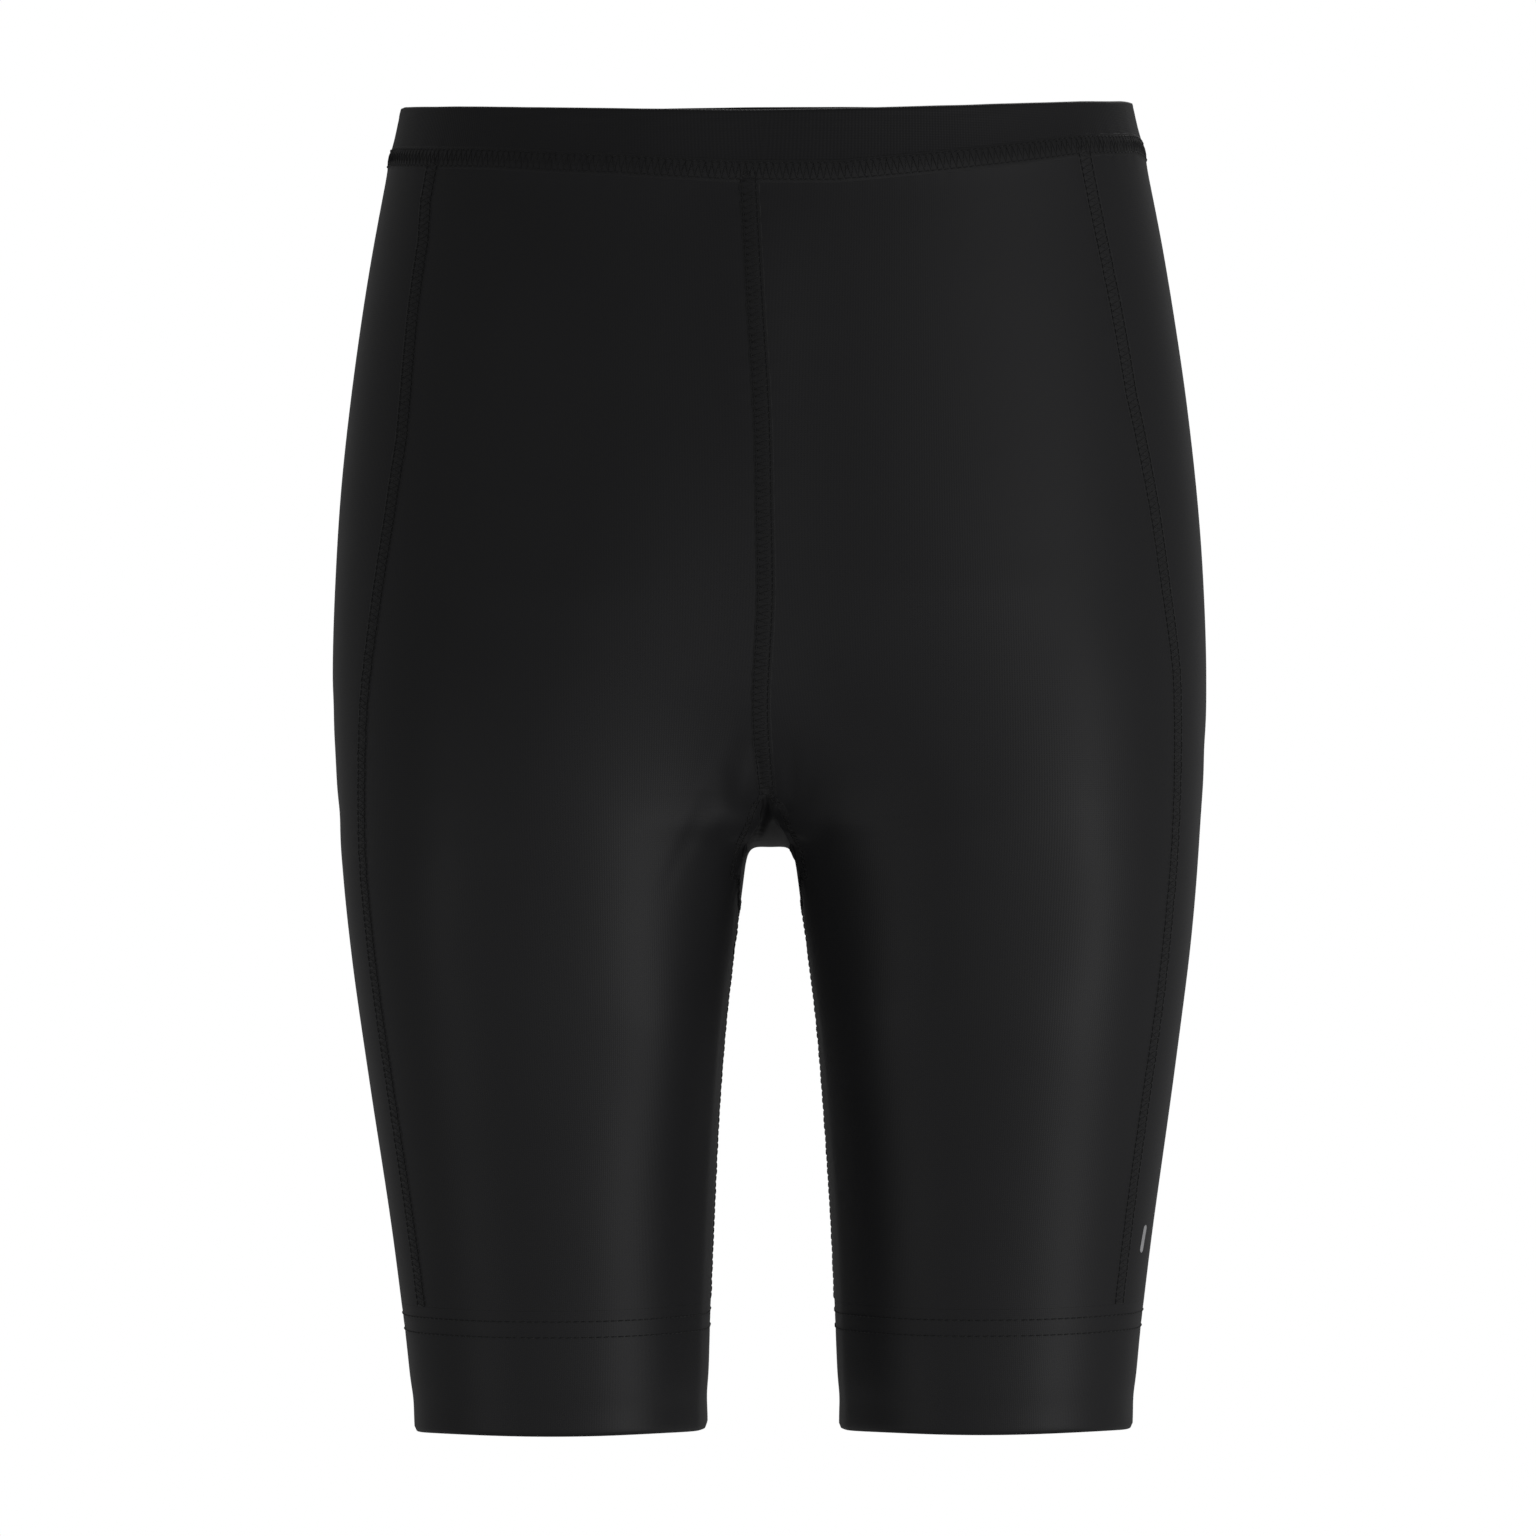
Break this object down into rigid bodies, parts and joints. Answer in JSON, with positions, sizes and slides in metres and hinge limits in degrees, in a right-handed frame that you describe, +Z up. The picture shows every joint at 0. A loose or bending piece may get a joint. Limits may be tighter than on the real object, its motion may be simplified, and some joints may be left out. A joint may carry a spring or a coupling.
{
  "type": "cycling shorts",
  "caption": "Close-fitting black cycling shorts to mid thigh, filled out as worn, with waistband, side panels, crotch gusset and leg bands.",
  "frame": {"origin": "centre of the waistband's ring, halfway up the band at the sides, where the wearer holds the shorts up", "axes": "+Z up, -Y to the front, +X to the wearer's left"},
  "size_m": [0.349, 0.2421, 0.5378],
  "materials": {
    "jersey": "smooth black nylon and elastane jersey with a faint sheen",
    "waistband_jersey": "the same jersey folded over elastic",
    "thread": "black textured sewing thread",
    "reflective_trim": "grey reflective tape, heat applied"
  },
  "bodies": {
    "root": {"waistband": "waistband_jersey", "front_left": "jersey", "front_right": "jersey", "side_left": "jersey", "side_right": "jersey", "back_left": "jersey", "back_right": "jersey", "gusset": "jersey", "hem_left": "jersey", "hem_right": "jersey"}
  },
  "joints": []
}
